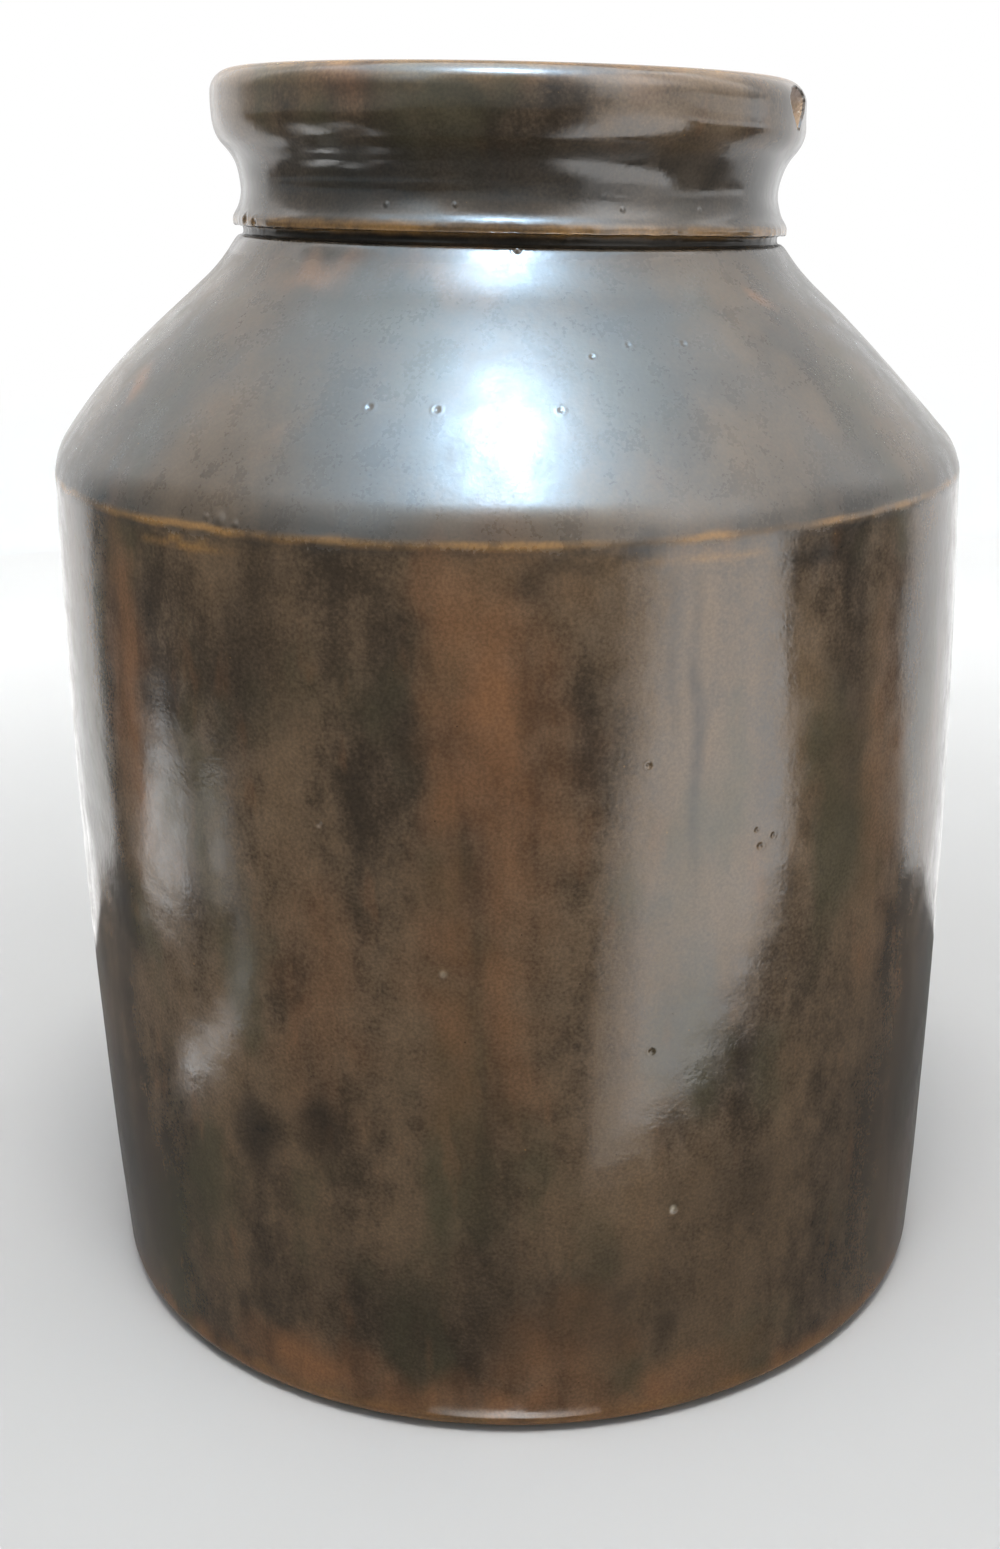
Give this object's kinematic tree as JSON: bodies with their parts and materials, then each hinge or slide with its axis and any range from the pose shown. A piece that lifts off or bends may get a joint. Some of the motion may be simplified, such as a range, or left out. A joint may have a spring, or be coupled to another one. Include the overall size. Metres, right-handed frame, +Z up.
{
  "type": "stoneware crock",
  "caption": "Wide-mouthed stoneware jar with a near-straight wall, conical shoulder, short grooved neck and chipped rolled rim, in glossy brown slip glaze.",
  "frame": {"origin": "centre of the flat underside of the foot", "axes": "+Z up along the pot's axis; -Y towards the front that the picture shows; +X to the right, where the rim is chipped"},
  "size_m": [0.1833, 0.1834, 0.2478],
  "materials": {
    "stoneware_clay": "matt, fine grained, unglazed",
    "joining_slip": "matt, fired into the clay",
    "outer_slip_glaze": "glossy, mottled brown, lighter where it thins over edges",
    "inner_slip_glaze": "glossy brown liner"
  },
  "bodies": {
    "root": {"lower_body": "stoneware_clay", "shoulder_luting": "joining_slip", "shoulder_section": "stoneware_clay", "neck_luting": "joining_slip", "neck_and_rim": "stoneware_clay", "outer_glaze": "outer_slip_glaze", "inner_glaze": "inner_slip_glaze"}
  },
  "joints": []
}
